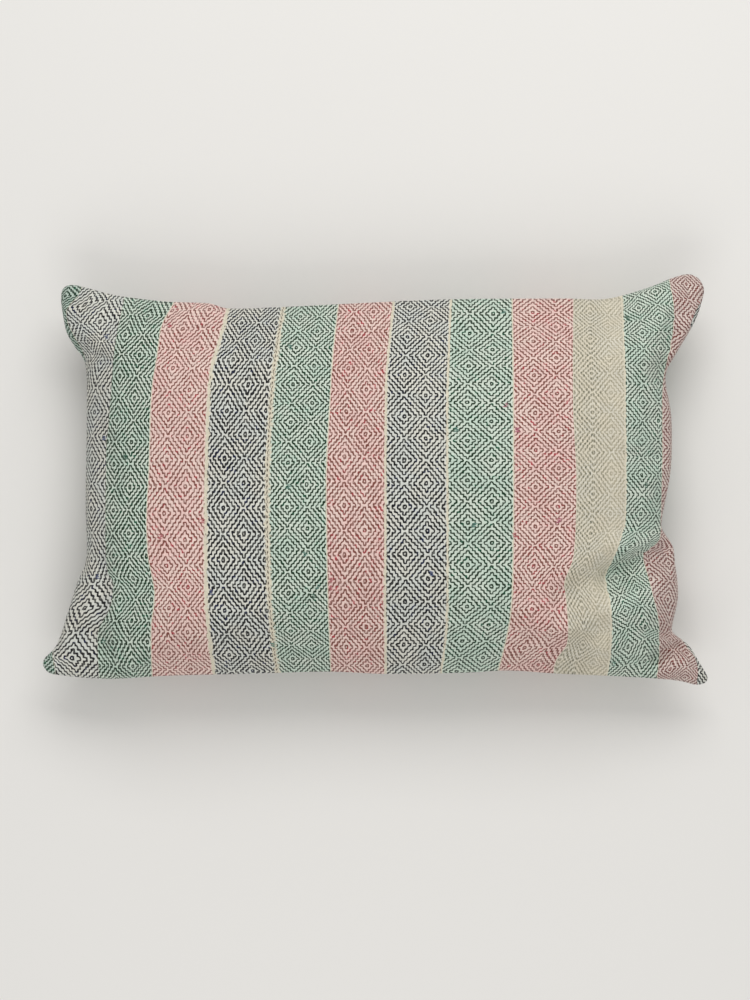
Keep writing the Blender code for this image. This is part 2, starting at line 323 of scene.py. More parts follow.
# Lights, with their places and sizes in metres
LIGHTS = {
    "key": ((0.2, 1.35, 1.5), (1.6, 1.0)),
    "fill": ((-0.1, -1.3, 1.4), (1.4, 1.0)),
}
LIT_HEIGHT = 40.0 * MM    # height of the point that the lights face
FLOOR_HALF = 6.0          # half the width of the floor

CURVE_STEPS = 12          # steps of a smooth curve from one of its points to the next
WELD = 0.02 * MM          # vertices nearer to each other than this become one
FOLD_FADE = 0.22          # fullness below which folds fade out towards the seam
EAR_POWER = 4             # how near to the corners the ears begin to droop
WAVE_ALONG = (4.0, 1.0)   # wave of the seam's height: how fast it runs, where it starts
WAVE_ACROSS = (5.0, -0.5)
SETTLE_FRAMES = 16
CLOTH_SETTINGS = {
    "quality": 6,
    "mass": 0.15,
    "tension_stiffness": 18.0,
    "compression_stiffness": 12.0,
    "shear_stiffness": 6.0,
    "bending_stiffness": 0.6,
    "use_pressure": True,
    "vertex_group_mass": "seam",
}

RINGS = 6                 # rings along a slub's thread
SIDES = 6                 # corners of a ring
YARN_RISE = 0.3           # how far its middle lies above the cloth, of half its thickness
YARN_TIP = 0.35           # how blunt its ends are, in steps from ring to ring
SLUB_THREADS = (-1, 0, 1)
SLUB_PITCH = 1.25 * MM    # from one thread of a slub to the next
SLUB_SHIFT = 0.8          # how far a thread lies off its place, in millimetres at most
SLUB_LEAN = 0.25          # how far a thread leans, as a slope at most
SLUB_HALF = 2.1 * MM      # half the length of a thread, before its own share
SLUB_LENGTHS = (0.5, 1.1)
SLUB_THICK = 0.42 * MM    # half its thickness, before its own share
SLUB_WIDTHS = (0.7, 1.1)
SLUB_SEED = 5
LOOSE_THICK = 0.26 * MM   # half the thickness of a loose end


def paint(red, green, blue):
    """A colour given as it looks on a screen, 0 to 255, as the shader's own linear colour."""
    linear = []
    for part in (red, green, blue):
        share = part / 255.0
        linear.append(share / 12.92 if share <= 0.04045 else ((share + 0.055) / 1.055) ** 2.4)
    return (*linear, 1.0)


def colour_property(name, description, default):
    """A colour that a user can change in the panel."""
    return FloatVectorProperty(name=name, description=description, default=default,
                               size=4, min=0.0, max=1.0, subtype="COLOR")


def length_property(name, description, default):
    """A length that a user can change in the panel."""
    return FloatProperty(name=name, description=description, default=default,
                         unit="LENGTH", precision=4)


def number_property(name, description, default, **limits):
    """A plain number that a user can change in the panel."""
    return FloatProperty(name=name, description=description, default=default, **limits)


def colour_properties():
    """The colour properties of every cloth, and of the stitches, edges and slubs."""
    made = {}
    for cloth, row in CLOTHS.items():
        for (part, description), colour in zip(YARNS.items(), row):
            made[f"{cloth}_{part}"] = colour_property(
                f"{cloth} {part}".capitalize(), f"{description} in the {cloth} cloth",
                paint(*colour))
    for name, (description, colour) in TRIMMINGS.items():
        title = name.replace("_", " ").capitalize()
        made[name] = colour_property(title, description, paint(*colour))
    return made


class CushionForm(bpy.types.PropertyGroup):
    """Sizes of the filled cushion."""

    seam_height: length_property("Seam height", "Side seam above the surface", SEAM_HEIGHT)
    crown: length_property("Crown", "Middle of the face above the side seam", 59.0 * MM)
    ear_drop: length_property("Ear drop", "How far the corners hang below the seam", 4.0 * MM)
    seam_wave: length_property("Seam wave", "Unevenness of the seam's height", 1.8 * MM)
    lump: length_property("Lumps", "Unevenness of the filling", 1.6 * MM)
    along_power: number_property(
        "Fullness along", "How far the filling reaches towards the ends", 4.2, min=1.0)
    across_power: number_property(
        "Fullness across", "How far the filling reaches towards the long edges", 2.5, min=1.0)
    edge_power: number_property("Edge", "How steeply the panels leave the seam", 0.6, min=0.1)
    flat_along: number_property(
        "Flat along", "Share of the length that lies flat on the surface", 0.615,
        min=0.0, max=0.95)
    flat_across: number_property(
        "Flat across", "Share of the width that lies flat on the surface", 0.471,
        min=0.0, max=0.95)
    back_power: number_property("Back", "How roundly the back leaves the surface", 1.6, min=1.0)
    cells_along: IntProperty(name="Cells along", default=132, min=8,
                             description="Mesh cells along one panel")
    cells_across: IntProperty(name="Cells across", default=84, min=8,
                              description="Mesh cells across one panel")
    pressure: number_property(
        "Pressure", "Pressure of the filling while the cover settles", 4.0, min=0.0)
    slack: number_property(
        "Slack", "Spare cloth in the cover, as a share of its length", 0.025, min=0.0, max=0.2)
    most_move: length_property("Most move", "How far settling may move the cover", 2.5 * MM)


class ClothColours(bpy.types.PropertyGroup):
    """Colours of the yarns: for each cloth its pale yarn in two tones, and its dark yarn."""

    __annotations__ = colour_properties()


class StageSettings(bpy.types.PropertyGroup):
    """Floor, lights and camera."""

    floor: colour_property("Floor", "Colour of the plain floor", paint(226, 224, 220))
    key: number_property("Key light", "Power of the large soft light above the upper edge", 21.0,
                         min=0.0, unit="POWER")
    fill: number_property("Fill light", "Power of the soft light above the lower edge", 9.0,
                          min=0.0, unit="POWER")
    sky: number_property("Surroundings", "Brightness of the surroundings", 0.55, min=0.0)
    camera_height: length_property("Camera height", "Camera above the seam", CAMERA_HEIGHT)


# The filled form

def smooth_curve(points):
    """A Catmull-Rom curve through the points of an edge, in metres."""
    knots = [Vector(point) * MM for point in points]
    knots.insert(0, 2.0 * knots[0] - knots[1])
    knots.append(2.0 * knots[-1] - knots[-2])
    curve = []
    for index in range(1, len(knots) - 2):
        before, start, end, after = knots[index - 1:index + 3]
        for step in range(CURVE_STEPS):
            t = step / CURVE_STEPS
            curve.append(0.5 * (2.0 * start + (end - before) * t
                                + (2.0 * before - 5.0 * start + 4.0 * end - after) * t ** 2
                                + (3.0 * start - before - 3.0 * end + after) * t ** 3))
    curve.append(knots[-2])
    return curve


def spread(curve, cells):
    """Points at equal steps along a curve, one for each grid line."""
    lengths = travelled(curve)
    points = []
    piece = 0
    for line in range(cells + 1):
        wanted = lengths[-1] * line / cells
        while piece < len(curve) - 2 and lengths[piece + 1] < wanted:
            piece += 1
        share = (wanted - lengths[piece]) / (lengths[piece + 1] - lengths[piece])
        points.append(curve[piece].lerp(curve[piece + 1], share))
    return points


class CoverPanel:
    """One panel of the cover, spanned between the four edges of the seam."""

    def __init__(self, form):
        self.form = form
        self.along = form.cells_along
        self.across = form.cells_across
        self.top = spread(smooth_curve(TOP_EDGE), self.along)
        self.bottom = spread(smooth_curve(BOTTOM_EDGE), self.along)
        self.left = spread(smooth_curve(LEFT_EDGE), self.across)
        self.right = spread(smooth_curve(RIGHT_EDGE), self.across)
        edges = self.top + self.bottom + self.left + self.right
        xs = [point.x for point in edges]
        ys = [point.y for point in edges]
        middle = Vector(((min(xs) + max(xs)) / 2.0, (min(ys) + max(ys)) / 2.0))
        self.shift = Vector(((LOW[0] + HIGH[0]) / 2.0, (LOW[1] + HIGH[1]) / 2.0)) - middle

    def flat_place(self, column, row):
        """Where a crossing of the grid lies, seen from above."""
        s = column / self.along
        t = row / self.across
        between_long_edges = self.bottom[column].lerp(self.top[column], t)
        between_ends = self.left[row].lerp(self.right[row], s)
        lower = self.bottom[0].lerp(self.bottom[-1], s)
        upper = self.top[0].lerp(self.top[-1], s)
        return between_long_edges + between_ends - lower.lerp(upper, t) + self.shift

    def fullness(self, u, v):
        """How full the cushion is: 1 in its middle and 0 at its seam."""
        form = self.form
        along = max(0.0, 1.0 - abs(u) ** form.along_power) ** form.edge_power
        across = max(0.0, 1.0 - abs(v) ** form.across_power) ** form.edge_power
        return along * across

    def seam_height(self, u, v):
        """Height of the seam, lower at the ears and a little uneven."""
        wave = math.sin(WAVE_ALONG[0] * u + WAVE_ALONG[1])
        wave *= math.cos(WAVE_ACROSS[0] * v + WAVE_ACROSS[1])
        drop = self.form.ear_drop * (u * v) ** EAR_POWER
        return self.form.seam_height - drop + self.form.seam_wave * wave

    def face(self, column, row):
        """A point of the face, which looks up, before its folds."""
        u, v = self.from_middle(column, row)
        full = self.fullness(u, v)
        place = self.flat_place(column, row)
        height = self.seam_height(u, v) + self.form.crown * full
        for along, across, phase, share in LUMPS:
            swing = math.sin(along * u + across * v + phase)
            height += self.form.lump * share * swing * full
        return Vector((place.x, place.y, height))

    def back(self, column, row):
        """A point of the back, which lies flat where it meets the surface."""
        form = self.form
        u, v = self.from_middle(column, row)
        place = self.flat_place(column, row)
        down = 1.0
        for away, flat in ((abs(u), form.flat_along), (abs(v), form.flat_across)):
            beyond = max(0.0, (away - flat) / (1.0 - flat))
            down *= max(0.0, 1.0 - beyond ** form.back_power) ** form.edge_power
        return Vector((place.x, place.y, self.seam_height(u, v) * (1.0 - down)))

    def from_middle(self, column, row):
        """Column and row as u and v from -1 to 1."""
        return 2.0 * column / self.along - 1.0, 2.0 * row / self.across - 1.0


class CoverMesh:
    """The cover as a mesh of two panels welded at the seam, and the way back to its grid."""

    FACE, BACK = 0, 1

    def __init__(self, panel):
        self.panel = panel
        self.data = bpy.data.meshes.new("cover")
        mesh = bmesh.new()
        self.side = mesh.faces.layers.int.new("side")
        self.column = mesh.verts.layers.int.new("column")
        self.row = mesh.verts.layers.int.new("row")
        corners = self.add_panel(mesh, panel.face, self.FACE)
        corners += self.add_panel(mesh, panel.back, self.BACK)
        for tip in corners:
            self.split_tip(mesh, tip)
        bmesh.ops.remove_doubles(mesh, verts=mesh.verts, dist=WELD)
        crease = mesh.edges.layers.float.new("crease_edge")
        for edge in mesh.edges:
            if len({face[self.side] for face in edge.link_faces}) == 2:
                edge[crease] = 1.0
        mesh.verts.index_update()
        self.vertex_of = {}
        for face in mesh.faces:
            for vertex in face.verts:
                place = (face[self.side], vertex[self.column], vertex[self.row])
                self.vertex_of[place] = vertex.index
        mesh.to_mesh(self.data)
        mesh.free()

    def add_panel(self, mesh, point_of, side):
        """A grid whose vertices are moved to their places; the back is turned over."""
        panel = self.panel
        grid = bmesh.ops.create_grid(mesh, x_segments=panel.along, y_segments=panel.across,
                                     size=1.0)
        corners = []
        for vertex in grid["verts"]:
            column = round((vertex.co.x + 1.0) / 2.0 * panel.along)
            row = round((vertex.co.y + 1.0) / 2.0 * panel.across)
            vertex[self.column] = column
            vertex[self.row] = row
            vertex.co = point_of(column, row)
            if len(vertex.link_faces) == 1:
                corners.append(vertex)
        faces = list({face for vertex in grid["verts"] for face in vertex.link_faces})
        for face in faces:
            face[self.side] = side
            face.smooth = True
        if side == self.BACK:
            bmesh.ops.reverse_faces(mesh, faces=faces)
        return corners

    @staticmethod
    def split_tip(mesh, tip):
        """Split a corner cell from its tip inwards, so the panels share no triangle."""
        cell = tip.link_faces[0]
        near = {vertex for edge in tip.link_edges for vertex in edge.verts}
        inner = next(vertex for vertex in cell.verts if vertex not in near)
        bmesh.ops.connect_verts(mesh, verts=[tip, inner])

    def on_seam(self, column, row):
        """Whether a crossing of the grid lies on the seam."""
        return column in (0, self.panel.along) or row in (0, self.panel.across)


def seen(point):
    """Where the camera sees a point of the face, as a place at the seam's height."""
    near = CAMERA_HEIGHT / (CAMERA_HEIGHT - point.z + SEAM_HEIGHT)
    return Vector((CAMERA_X + (point.x - CAMERA_X) * near, CAMERA_Y + (point.y - CAMERA_Y) * near))


def fold_depth(place):
    """Depth of all the folds at a place of the face."""
    depth = 0.0
    for start, end, (left, right), deep in FOLDS:
        start = Vector(start) * MM
        run = Vector(end) * MM - start
        share = min(1.0, max(0.0, (place - start).dot(run) / run.length_squared))
        offset = place - (start + run * share)
        leftward = run.cross(offset) / max(run.length * offset.length, 1e-9)
        away = offset.length / ((left + right + (left - right) * leftward) / 2.0 * MM)
        if away < 1.0:
            depth += deep * MM * 0.5 * (1.0 + math.cos(math.pi * away))
    return depth


def settle(cover, form, pinned):
    """Blow the cover up a little with the Cloth modifier, and return where its points end."""
    group = cover.vertex_groups.new(name="seam")
    group.add(pinned, 1.0, "REPLACE")
    cloth = cover.modifiers.new("filling", "CLOTH")
    settings = cloth.settings
    for name, value in CLOTH_SETTINGS.items():
        setattr(settings, name, value)
    settings.uniform_pressure_force = form.pressure
    settings.shrink_min = -form.slack
    settings.effector_weights.gravity = 0.0
    cloth.collision_settings.use_collision = False
    cloth.collision_settings.use_self_collision = False
    cloth.point_cache.frame_start = 1
    cloth.point_cache.frame_end = SETTLE_FRAMES
    for number in range(1, SETTLE_FRAMES + 1):
        bpy.context.scene.frame_set(number)
    settled = cover.evaluated_get(bpy.context.evaluated_depsgraph_get())
    points = [vertex.co.copy() for vertex in settled.data.vertices]
    cover.modifiers.remove(cloth)
    cover.vertex_groups.remove(group)
    bpy.context.scene.frame_set(1)
    return points


def shape_cover(cover, parts, form):
    """Settle the cover, hold it near the sewn form, press in its folds and flatten its back."""
    panel = parts.panel
    places = parts.data.vertices
    pinned = [index for (side, column, row), index in parts.vertex_of.items()
              if parts.on_seam(column, row)]
    for index, settled in enumerate(settle(cover, form, pinned)):
        move = settled - places[index].co
        if move.length > form.most_move:
            move *= form.most_move / move.length
        places[index].co += move
    for (side, column, row), index in parts.vertex_of.items():
        if parts.on_seam(column, row):
            continue
        point = places[index].co
        if side == parts.FACE:
            fade = min(1.0, panel.fullness(*panel.from_middle(column, row)) / FOLD_FADE)
            point.z -= fold_depth(point.xy) * fade
        else:
            point.z = max(point.z, 0.0)


# The strips on the cover

def travelled(points):
    """Length gone along a line of points, at each of them."""
    gone = [0.0]
    for start, end in zip(points, points[1:]):
        gone.append(gone[-1] + (end - start).length)
    return gone


def along_threads(points):
    """Length gone along the threads through a line of points, at each of them."""
    return travelled([Vector((point.x, point.y, GATHER * point.z)) for point in points])


def read_off(places, values, place):
    """The value at a place, on straight lines through the values at known places, which rise."""
    index = min(max(bisect(places, place), 1), len(places) - 1)
    low, high = places[index - 1:index + 1]
    share = (place - low) / max(high - low, 1e-9)
    return values[index - 1] + (values[index] - values[index - 1]) * share


def cloth_height(place):
    """Height of the cross thread through a place, as it lay before the cloth was pulled."""
    height = place.y
    for x, y, reach, rise in PULLS:
        offset = place - Vector((x, y)) * MM
        near = max(0.0, 1.0 - offset.length / (reach * MM))
        height -= rise * offset.x * near * near * (3.0 - 2.0 * near)
    return height


class Join:
    """The line along which two strips are joined."""

    def __init__(self, points):
        curve = smooth_curve(points)
        self.downs = [-point.y for point in curve]
        self.acrosses = [point.x for point in curve]

    def ahead(self, place):
        """How far a place lies to the right of the join."""
        down = min(max(-place.y, self.downs[0]), self.downs[-1])
        return place.x - read_off(self.downs, self.acrosses, down)

    def crossing(self, places, gone):
        """Length gone along a row of places to where the join crosses it, or would cross it."""
        ahead = [self.ahead(place) for place in places]
        if ahead[0] >= 0.0:
            return gone[0] - ahead[0]
        for index in range(1, len(places)):
            if ahead[index] >= 0.0:
                share = -ahead[index - 1] / (ahead[index] - ahead[index - 1])
                return gone[index - 1] + share * (gone[index] - gone[index - 1])
        return gone[-1] - ahead[-1]


class ClothLayout:
    """Lays the strips and their threads on the finished cover, as three UV maps.

    The tables give places as the camera sees them, and the back repeats those of the face.

    The map "strips" holds the number of the strip with the share across it, and the strip's
    width. The maps "even cloth" and "odd cloth" hold the place on the cloth of the even and of
    the odd strips. Both run on past the joins, so that a cell with a join across it has both.
    """

    MAPS = ("strips", "even cloth", "odd cloth")

    def __init__(self, parts):
        self.parts = parts
        self.panel = parts.panel
        self.joins = [Join(points) for points in JOINS]
        self.columns = {}
        self.marks = {}
        self.laid = {}

    def lay(self):
        """Lay every row, and write the UV maps."""
        for side in (self.parts.FACE, self.parts.BACK):
            for row in range(self.panel.across + 1):
                self.lay_row(side, row)
        data = self.parts.data
        for name in self.MAPS:
            data.uv_layers.new(name=name)
        maps = [data.uv_layers[name].data for name in self.MAPS]
        side_of = data.attributes["side"].data
        column_of = data.attributes["column"].data
        row_of = data.attributes["row"].data
        for face in data.polygons:
            side = side_of[face.index].value
            for corner, index in zip(face.loop_indices, face.vertices):
                laid = self.laid[side, column_of[index].value, row_of[index].value]
                for layer, place in zip(maps, laid):
                    layer[corner].uv = place

    def point(self, side, column, row):
        """Where a crossing of the grid lies on the finished cover."""
        return self.parts.data.vertices[self.parts.vertex_of[side, column, row]].co

    def lay_row(self, side, row):
        """Lay one row of the grid, from the left seam to the right."""
        points = [self.point(side, column, row) for column in range(self.panel.along + 1)]
        gone = along_threads(points)
        places = [seen(point) for point in points]
        edges = [join.crossing(places, gone) for join in self.joins]
        edges = [edges[0] - STRIP_WIDTH, *edges, edges[-1] + STRIP_WIDTH]
        last = len(STRIPS) - 1
        for column, place in enumerate(places):
            number = min(max(bisect(edges, gone[column]) - 1, 0), last)
            width = edges[number + 1] - edges[number]
            share = min(max((gone[column] - edges[number]) / width, 0.0), LAST_SHARE)
            beside = number - 1 if share < 0.5 else number + 1
            if not 0 <= beside <= last:
                beside = 2 * number - beside
            cloths = {}
            for strip in (number, beside):
                across = (gone[column] - edges[strip]) / (edges[strip + 1] - edges[strip])
                thread = self.thread(strip, across, place.y)
                repeats = self.repeats(side, column, row, strip)
                cloths[strip % 2] = (thread * THREAD, repeats * REPEAT)
            self.laid[side, column, row] = ((number + share, width), cloths[0], cloths[1])

    @staticmethod
    def thread(strip, across, height):
        """Number of the lengthways thread at a share across a strip."""
        rows = STRIPS[strip].threads
        if len(rows) == 1:
            at_left, at_right = rows[0][1:]
        else:
            downs = [-row[0] * MM for row in rows]
            down = min(max(-height, downs[0]), downs[-1])
            at_left = read_off(downs, [row[1] for row in rows], down)
            at_right = read_off(downs, [row[2] for row in rows], down)
        return at_left + (at_right - at_left) * across

    def repeats(self, side, column, row, strip):
        """Number of diamond repeats up the cloth at a crossing of the grid."""
        if (side, column) not in self.columns:
            points = [self.point(side, column, line) for line in range(self.panel.across + 1)]
            heights = [cloth_height(seen(point)) for point in points]
            self.columns[side, column] = along_threads(points), heights
        gone, heights = self.columns[side, column]
        if side == self.parts.BACK:
            return gone[row] / REPEAT
        if (column, strip) not in self.marks:
            self.marks[column, strip] = self.diamond_marks(gone, heights, strip)
        lengths, numbers = self.marks[column, strip]
        return read_off(lengths, numbers, gone[row])

    @staticmethod
    def diamond_marks(gone, heights, strip):
        """Lengths gone up a column of the grid to the strip's diamonds, with their numbers."""
        lengths = []
        numbers = []
        for number, height in enumerate(reversed(STRIPS[strip].diamonds)):
            on_face = min(max(height * MM, heights[0]), heights[-1])
            lengths.append(read_off(heights, gone, on_face) + height * MM - on_face)
            numbers.append(float(number))
        lengths = [lengths[0] - REPEAT, *lengths, lengths[-1] + REPEAT]
        numbers = [numbers[0] - 1.0, *numbers, numbers[-1] + 1.0]
        return lengths, numbers


# Node trees

class Wiring:
    """Adds nodes to a tree and links them, one call for each node."""

    def __init__(self, tree):
        self.tree = tree

    def node(self, kind, values=(), label="", **settings):
        """A node with its settings; values are numbers, colours or sockets by input."""
        made = self.tree.nodes.new(kind)
        made.label = label
        for name, value in settings.items():
            setattr(made, name, value)
        self.fill_in(made, dict(values))
        return made

    def fill_in(self, made, values):
        """Link sockets to a node's inputs, or set numbers and colours there."""
        for socket, value in values.items():
            if isinstance(value, bpy.types.NodeSocket):
                self.tree.links.new(value, made.inputs[socket])
            else:
                made.inputs[socket].default_value = value

    def math(self, operation, *values, label=""):
        """A Math node's value."""
        made = self.node("ShaderNodeMath", enumerate(values), label, operation=operation)
        return made.outputs[0]

    def plus(self, first, second, label=""):
        """The sum of two values."""
        return self.math("ADD", first, second, label=label)

    def minus(self, first, second, label=""):
        """The first value less the second."""
        return self.math("SUBTRACT", first, second, label=label)

    def times(self, first, second, label=""):
        """The product of two values."""
        return self.math("MULTIPLY", first, second, label=label)

    def mix(self, share, first, second, label=""):
        """A colour mixed from two colours."""
        return self.node("ShaderNodeMix", {0: share, 6: first, 7: second}, label,
                         data_type="RGBA").outputs[2]

    def choose(self, share, first, second, label=""):
        """A number mixed from two numbers."""
        return self.node("ShaderNodeMix", {0: share, 2: first, 3: second}, label,
                         data_type="FLOAT").outputs[0]

    def odd_number(self, value, label=""):
        """The odd number nearest to a value."""
        pairs = self.math("FLOOR", self.times(value, 0.5))
        return self.math("MULTIPLY_ADD", pairs, 2.0, 1.0, label=label)

    def soft_step(self, value, start, end):
        """A number that turns smoothly from 0 at the start to 1 at the end."""
        return self.node("ShaderNodeMapRange", {0: value, 1: start, 2: end},
                         interpolation_type="SMOOTHSTEP").outputs[0]

    def span(self, value, low, high, first, second):
        """A number moved from one range to another, and kept inside it."""
        return self.node("ShaderNodeMapRange",
                         {0: value, 1: low, 2: high, 3: first, 4: second}).outputs[0]

    def split(self, vector):
        """The three parts of a vector."""
        return self.node("ShaderNodeSeparateXYZ", {0: vector}).outputs

    def split_colour(self, colour):
        """The three parts of a colour."""
        return self.node("ShaderNodeSeparateColor", {0: colour}).outputs

    def uv_map(self, name):
        """A place in one of the UV maps."""
        return self.node("ShaderNodeUVMap", uv_map=name).outputs[0]

    def noise(self, vector, scale, detail=2.0, label=""):
        """A noise texture's value."""
        return self.node("ShaderNodeTexNoise", {"Vector": vector, "Scale": scale, "Detail": detail,
                                                "Roughness": 0.55}, label).outputs["Fac"]

    def shake(self, vector, scale, detail):
        """The three parts of a noise texture's colour."""
        made = self.node("ShaderNodeTexNoise", {"Vector": vector, "Scale": scale,
                                                "Detail": detail})
        return self.split(made.outputs["Color"])

    def bare_edge(self, away, width, wander):
        """Where a strip's bare edge lies; its width is given in hundredths of a metre."""
        wide = self.times(self.times(width, 10.0 * MM), wander)
        inner = self.math("MULTIPLY_ADD", wide, 0.7, -0.05 * MM)
        return self.soft_step(away, self.times(wide, 1.3), inner)

    def table(self, place, colours, label):
        """A colour for each strip, looked up by the strip's place from 0 to 1."""
        ramp = self.node("ShaderNodeValToRGB", {"Fac": place}, label)
        stops = ramp.color_ramp
        stops.interpolation = "CONSTANT"
        for number, colour in enumerate(colours):
            position = number / len(colours)
            stop = stops.elements[number] if number < 2 else stops.elements.new(position)
            stop.position = position
            stop.color = colour
        return ramp.outputs


def new_group(name, kind, inputs, outputs):
    """A shader node group whose inputs are all of one kind, and whose outputs are numbers."""
    group = bpy.data.node_groups.new(name, "ShaderNodeTree")
    for socket in inputs:
        group.interface.new_socket(socket, in_out="INPUT", socket_type=kind)
    for socket in outputs:
        group.interface.new_socket(socket, in_out="OUTPUT", socket_type="NodeSocketFloat")
    wiring = Wiring(group)
    return group, wiring, wiring.node("NodeGroupInput").outputs, wiring.node("NodeGroupOutput")


def new_material(name):
    """A material with its shader, and the wiring of its nodes."""
    material = bpy.data.materials.new(name)
    material.use_nodes = True
    tree = material.node_tree
    return material, tree.nodes["Principled BSDF"], Wiring(tree)


def stroke_distance(wiring, sideways, lengthways):
    """Distance to a stroke two threads long, from the offsets to its middle."""
    beyond = wiring.minus(wiring.math("ABSOLUTE", lengthways), 1.0)
    beyond = wiring.math("MAXIMUM", beyond, 0.0)
    squares = wiring.math("MULTIPLY_ADD", beyond, beyond, wiring.times(sideways, sideways))
    return wiring.math("SQRT", squares)


def diamond_weave_group():
    """Goose-eye twill of alternate dark and pale threads, which draws nested stepped diamonds.

    Across and Along count threads. The twill runs two threads over and two under, and turns
    back at the middle of each diamond and half a repeat away from it, so the dark yarn shows
    as stairs of strokes two threads long. Width is half the width of such a stroke in threads.
    Dot is the middle of the upright strokes.
    """
    group, wiring, given, out = new_group(
        "Diamond weave", "NodeSocketFloat", ("Across", "Along", "Width"),
        ("Line", "Dot", "Relief"))
    shifted = wiring.minus(given["Across"], float(LEFT_COLUMN))
    x = wiring.math("PINGPONG", shifted, float(HALF_ACROSS), label="from a diamond, across")
    y = wiring.math("PINGPONG", given["Along"], THREADS_REPEAT / 2.0,
                    label="from a diamond, along")
    column = wiring.odd_number(x, "dark lengthways thread")
    row = wiring.odd_number(y, "dark cross thread")
    up = wiring.math("WRAP", wiring.minus(wiring.minus(y, column), -1.0), 2.0, -2.0)
    over = wiring.math("WRAP", wiring.minus(wiring.minus(x, row), 3.0), 2.0, -2.0)
    to_upright = stroke_distance(wiring, wiring.minus(x, column), up)
    to_level = stroke_distance(wiring, wiring.minus(y, row), over)
    stair = wiring.math("SMOOTH_MIN", to_upright, to_level, 0.3, label="from the stair")
    slope = wiring.math("WRAP", wiring.minus(wiring.plus(x, y), 1.0), 2.0, -2.0)
    slope = wiring.times(wiring.math("ABSOLUTE", slope), math.sqrt(0.5))
    away = wiring.choose(STAIR_EASE, stair, slope, "from the dark yarn")

    outer = wiring.plus(given["Width"], LINE_SOFT)
    inner = wiring.minus(given["Width"], LINE_SOFT)
    squares = wiring.math("MULTIPLY_ADD", up, up, wiring.math("POWER", to_upright, 2.0))
    relief = wiring.math("COSINE", wiring.times(away, math.sqrt(2.0) * math.pi))
    wiring.fill_in(out, {"Line": wiring.soft_step(away, outer, inner),
                         "Dot": wiring.soft_step(squares, 1.3, 0.3),
                         "Relief": wiring.math("MULTIPLY_ADD", relief, 0.5, 0.5)})
    return group


def yarn_group():
    """Unevenness of hand-spun yarn: streaks along the threads, patches of dye and fuzz."""
    group, wiring, given, out = new_group(
        "Hand-spun yarn", "NodeSocketVector", ("Cloth",), ("Streak", *YARN_NOISE))
    cloth = given["Cloth"]
    streaks = []
    for stretch in STREAKS:
        stretched = wiring.node("ShaderNodeMapping", {"Vector": cloth, "Scale": stretch})
        streaks.append(wiring.noise(stretched.outputs[0], 1.0, 1.0))
    wiring.fill_in(out, {"Streak": wiring.times(wiring.plus(*streaks), 0.5)})
    wiring.fill_in(out, {name: wiring.noise(cloth, scale) for name, scale in YARN_NOISE.items()})
    return group


def strip_rows(colours):
    """What each strip is made of, as colours for the look-up tables."""
    rows = {part: [] for part in LOOKED_UP}
    stitches_before = 0.0
    for strip in STRIPS:
        for part in YARNS:
            rows[part].append(tuple(getattr(colours, f"{strip.cloth}_{part}")))
        left, right = strip.bare
        rows["edges"].append((left / 10.0, right / 10.0, stitches_before, strip.stitches))
        weight, faintness = CLOTHS[strip.cloth][-2:]
        dots = float(strip.cloth == "beige")
        rows["wear"].append((dots, weight * (1.0 - strip.finer) * LINE_WIDTH, faintness, 1.0))
        stitches_before = strip.stitches
    return rows


